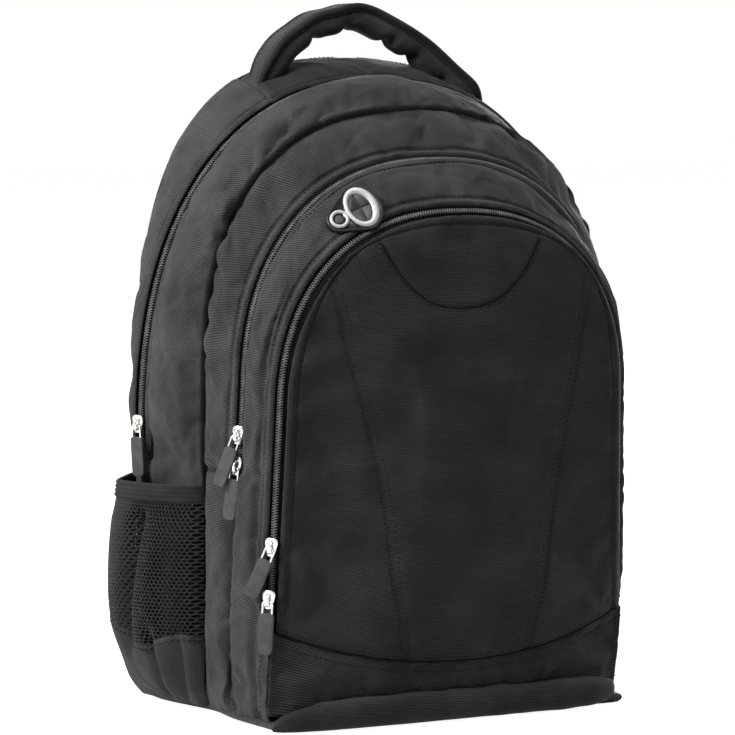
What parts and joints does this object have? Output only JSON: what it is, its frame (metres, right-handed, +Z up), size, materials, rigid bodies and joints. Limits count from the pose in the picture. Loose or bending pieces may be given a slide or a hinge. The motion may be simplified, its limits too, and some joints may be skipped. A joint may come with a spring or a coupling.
{
  "type": "school backpack",
  "caption": "Upright padded school backpack with zipped main, middle and front compartments, elastic-topped mesh side pockets, padded carry handle, shoulder straps and an earphone port.",
  "frame": {"origin": "on the floor under the middle of the base", "axes": "+X to the right seen from the front, +Y towards the wearer's back, +Z up"},
  "size_m": [0.3978, 0.2606, 0.5107],
  "materials": {
    "cloth": "charcoal ribbed polyester twill over thin foam",
    "lining": "plain woven lining",
    "webbing": "black woven tape and ribbed elastic",
    "net": "black knitted mesh",
    "rubber": "matte moulded rubber",
    "plastic": "black moulded plastic",
    "nickel": "bright nickel plate"
  },
  "bodies": {
    "rear_body": {"base_panel": "cloth", "base_board": "lining", "back_panel": "cloth", "back_pad_left": "net", "back_pad_right": "net", "back_pad_lumbar": "net", "strap_yoke": "cloth", "rear_gusset_left": "cloth", "rear_gusset_top": "cloth", "rear_gusset_right": "cloth", "main_zip_tape_rear": "webbing", "side_panel_left": "cloth", "side_panel_right": "cloth", "pocket_band_left": "webbing", "pocket_band_right": "webbing", "pocket_mesh_left": "net", "pocket_mesh_right": "net", "pocket_foot_left": "cloth", "pocket_foot_right": "cloth", "strap_tab_left": "cloth", "strap_tab_right": "cloth", "strap_webbing_left": "webbing", "strap_webbing_right": "webbing"},
    "handle": {"handle_grip": "cloth", "handle_binding": "webbing"},
    "strap_left": {"strap_pad_left": "cloth", "ladder_lock_left": "plastic", "strap_tail_left": "webbing"},
    "strap_right": {"strap_pad_right": "cloth", "ladder_lock_right": "plastic", "strap_tail_right": "webbing"},
    "middle_section": {"main_zip_tape_front": "webbing", "main_gusset": "cloth", "main_divider": "lining", "middle_gusset": "cloth", "middle_gusset_lower": "cloth", "middle_zip_tape_rear": "webbing"},
    "front_pocket": {"middle_zip_tape_front": "webbing", "front_gusset": "cloth", "front_zip_tape_rear": "webbing", "pocket_divider": "lining", "front_lower_panel": "cloth", "port_base": "rubber", "port_ring": "nickel", "port_membrane": "rubber"},
    "front_flap": {"front_panel": "cloth", "front_zip_tape_front": "webbing"},
    "main_slider": {"slider_main": "nickel"},
    "main_pull": {"pull_main": "rubber"},
    "middle_slider": {"slider_middle": "nickel"},
    "middle_pull": {"pull_middle": "rubber"},
    "middle_lower_slider": {"slider_middle_lower": "nickel"},
    "middle_lower_pull": {"pull_middle_lower": "rubber"},
    "front_slider": {"slider_front": "nickel"},
    "front_pull": {"pull_front": "rubber"},
    "front_lower_slider": {"slider_front_lower": "nickel"},
    "front_lower_pull": {"pull_front_lower": "rubber"}
  },
  "joints": [
    {"name": "handle_fold", "type": "hinge", "parent": "rear_body", "child": "handle", "pos_m": [0, 0.055, 0.47147], "axis": [1, 0, 0], "range_deg": [-35, 35]},
    {"name": "strap_swing_left", "type": "hinge", "parent": "rear_body", "child": "strap_left", "pos_m": [-0.048, 0.0916, 0.411], "axis": [1, 0, 0], "range_deg": [0, 25]},
    {"name": "strap_swing_right", "type": "hinge", "parent": "rear_body", "child": "strap_right", "pos_m": [0.048, 0.0916, 0.411], "axis": [1, 0, 0], "range_deg": [0, 25]},
    {"name": "main_opening", "type": "hinge", "parent": "rear_body", "child": "middle_section", "pos_m": [0, -0.105, 0.012], "axis": [1, 0, 0], "range_deg": [0, 14]},
    {"name": "middle_opening", "type": "hinge", "parent": "middle_section", "child": "front_pocket", "pos_m": [0, -0.105, 0.012], "axis": [1, 0, 0], "range_deg": [0, 12]},
    {"name": "pocket_opening", "type": "hinge", "parent": "front_pocket", "child": "front_flap", "pos_m": [0, -0.11304, 0.058], "axis": [1, 0, 0], "range_deg": [0, 60]},
    {"name": "main_slider_travel", "type": "slide", "parent": "middle_section", "child": "main_slider", "axis": [-0.0547, -0.0961, 0.9939], "range_m": [0, 0.02]},
    {"name": "main_pull_swing", "type": "hinge", "parent": "main_slider", "child": "main_pull", "pos_m": [-0.18629, 0.04019, 0.20489], "axis": [0, 0.9954, 0.0962], "range_deg": [0, 140]},
    {"name": "middle_slider_travel", "type": "slide", "parent": "front_pocket", "child": "middle_slider", "axis": [0.0248, -0.0749, 0.9969], "range_m": [0, 0.025]},
    {"name": "middle_pull_swing", "type": "hinge", "parent": "middle_slider", "child": "middle_pull", "pos_m": [-0.15175, -0.06264, 0.20468], "axis": [-0.1618, 0.8482, 0.5043], "range_deg": [0, 110]},
    {"name": "middle_lower_slider_travel", "type": "slide", "parent": "front_pocket", "child": "middle_lower_slider", "axis": [0.0248, -0.0749, 0.9969], "range_m": [-0.006, 0]},
    {"name": "middle_lower_pull_swing", "type": "hinge", "parent": "middle_lower_slider", "child": "middle_lower_pull", "pos_m": [-0.15229, -0.06099, 0.18268], "axis": [-0.2496, 0.9651, 0.0788], "range_deg": [0, 100]},
    {"name": "front_slider_travel", "type": "slide", "parent": "front_flap", "child": "front_slider", "axis": [0.0313, -0.0522, 0.9981], "range_m": [0, 0.08]},
    {"name": "front_pull_swing", "type": "hinge", "parent": "front_slider", "child": "front_pull", "pos_m": [-0.14335, -0.10369, 0.12953], "axis": [-0.6864, 0.6098, 0.3961], "range_deg": [0, 120]},
    {"name": "front_lower_slider_travel", "type": "slide", "parent": "front_flap", "child": "front_lower_slider", "axis": [0.0313, -0.0522, 0.9981], "range_m": [-0.006, 0]},
    {"name": "front_lower_pull_swing", "type": "hinge", "parent": "front_lower_slider", "child": "front_lower_pull", "pos_m": [-0.14451, -0.10175, 0.09253], "axis": [-0.7419, 0.668, 0.0583], "range_deg": [0, 100]}
  ]
}
